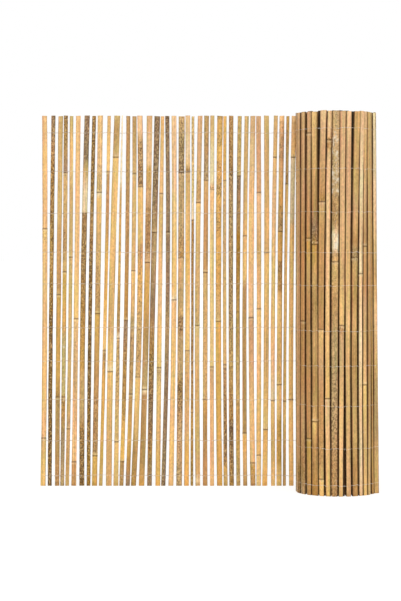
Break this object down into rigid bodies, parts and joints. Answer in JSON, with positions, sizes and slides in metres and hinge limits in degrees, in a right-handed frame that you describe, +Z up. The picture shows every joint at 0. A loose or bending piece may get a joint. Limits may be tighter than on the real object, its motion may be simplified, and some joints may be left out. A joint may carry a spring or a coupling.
{
  "type": "bamboo fence panel",
  "caption": "Split bamboo cane mat bound with rows of thin wire, partly unrolled: a flat stretch beside its standing roll, for fencing and screening.",
  "frame": {"origin": "on the floor, under the middle of the whole panel's box", "axes": "+Z up along the canes, +X from the free edge towards the roll, +Y to the rear: the roll stands before the flat stretch, on its -Y side"},
  "size_m": [0.9044, 0.2268, 1],
  "materials": {
    "bamboo_gold": "split bamboo, dry, satin skin",
    "bamboo_peach": "split bamboo, dry, satin skin",
    "bamboo_tan": "split bamboo, dry, satin skin",
    "bamboo_brown": "split bamboo, dry, satin skin",
    "bamboo_olive": "split bamboo, dry, satin skin",
    "bamboo_rolled": "split bamboo, dry, satin skin",
    "binding_wire": "thin galvanised wire, dull grey"
  },
  "bodies": {
    "root": {"cane_01": "bamboo_peach", "cane_02": "bamboo_brown", "cane_03": "bamboo_peach", "cane_04": "bamboo_tan", "cane_05": "bamboo_gold", "cane_06": "bamboo_peach", "cane_07": "bamboo_brown", "cane_08": "bamboo_brown", "cane_09": "bamboo_peach", "cane_10": "bamboo_gold", "cane_11": "bamboo_gold", "cane_12": "bamboo_gold", "cane_13": "bamboo_tan", "cane_14": "bamboo_gold", "cane_15": "bamboo_peach", "cane_16": "bamboo_peach", "cane_17": "bamboo_brown", "cane_18": "bamboo_gold", "cane_19": "bamboo_brown", "cane_20": "bamboo_gold", "cane_21": "bamboo_olive", "cane_22": "bamboo_gold", "cane_23": "bamboo_brown", "cane_24": "bamboo_peach", "cane_25": "bamboo_tan", "cane_26": "bamboo_gold", "cane_27": "bamboo_gold", "cane_28": "bamboo_gold", "cane_29": "bamboo_brown", "cane_30": "bamboo_brown", "cane_31": "bamboo_gold", "cane_32": "bamboo_peach", "cane_33": "bamboo_gold", "cane_34": "bamboo_gold", "cane_35": "bamboo_gold", "cane_36": "bamboo_gold", "cane_37": "bamboo_tan", "cane_38": "bamboo_gold", "cane_39": "bamboo_tan", "cane_40": "bamboo_olive", "cane_41": "bamboo_tan", "cane_42": "bamboo_olive", "cane_43": "bamboo_tan", "rolled_turns": "bamboo_rolled", "wire_row_01": "binding_wire", "wire_row_02": "binding_wire", "wire_row_03": "binding_wire", "wire_row_04": "binding_wire", "wire_row_05": "binding_wire", "wire_row_06": "binding_wire", "wire_row_07": "binding_wire", "wire_row_08": "binding_wire", "wire_row_09": "binding_wire", "wire_row_10": "binding_wire"}
  },
  "joints": []
}
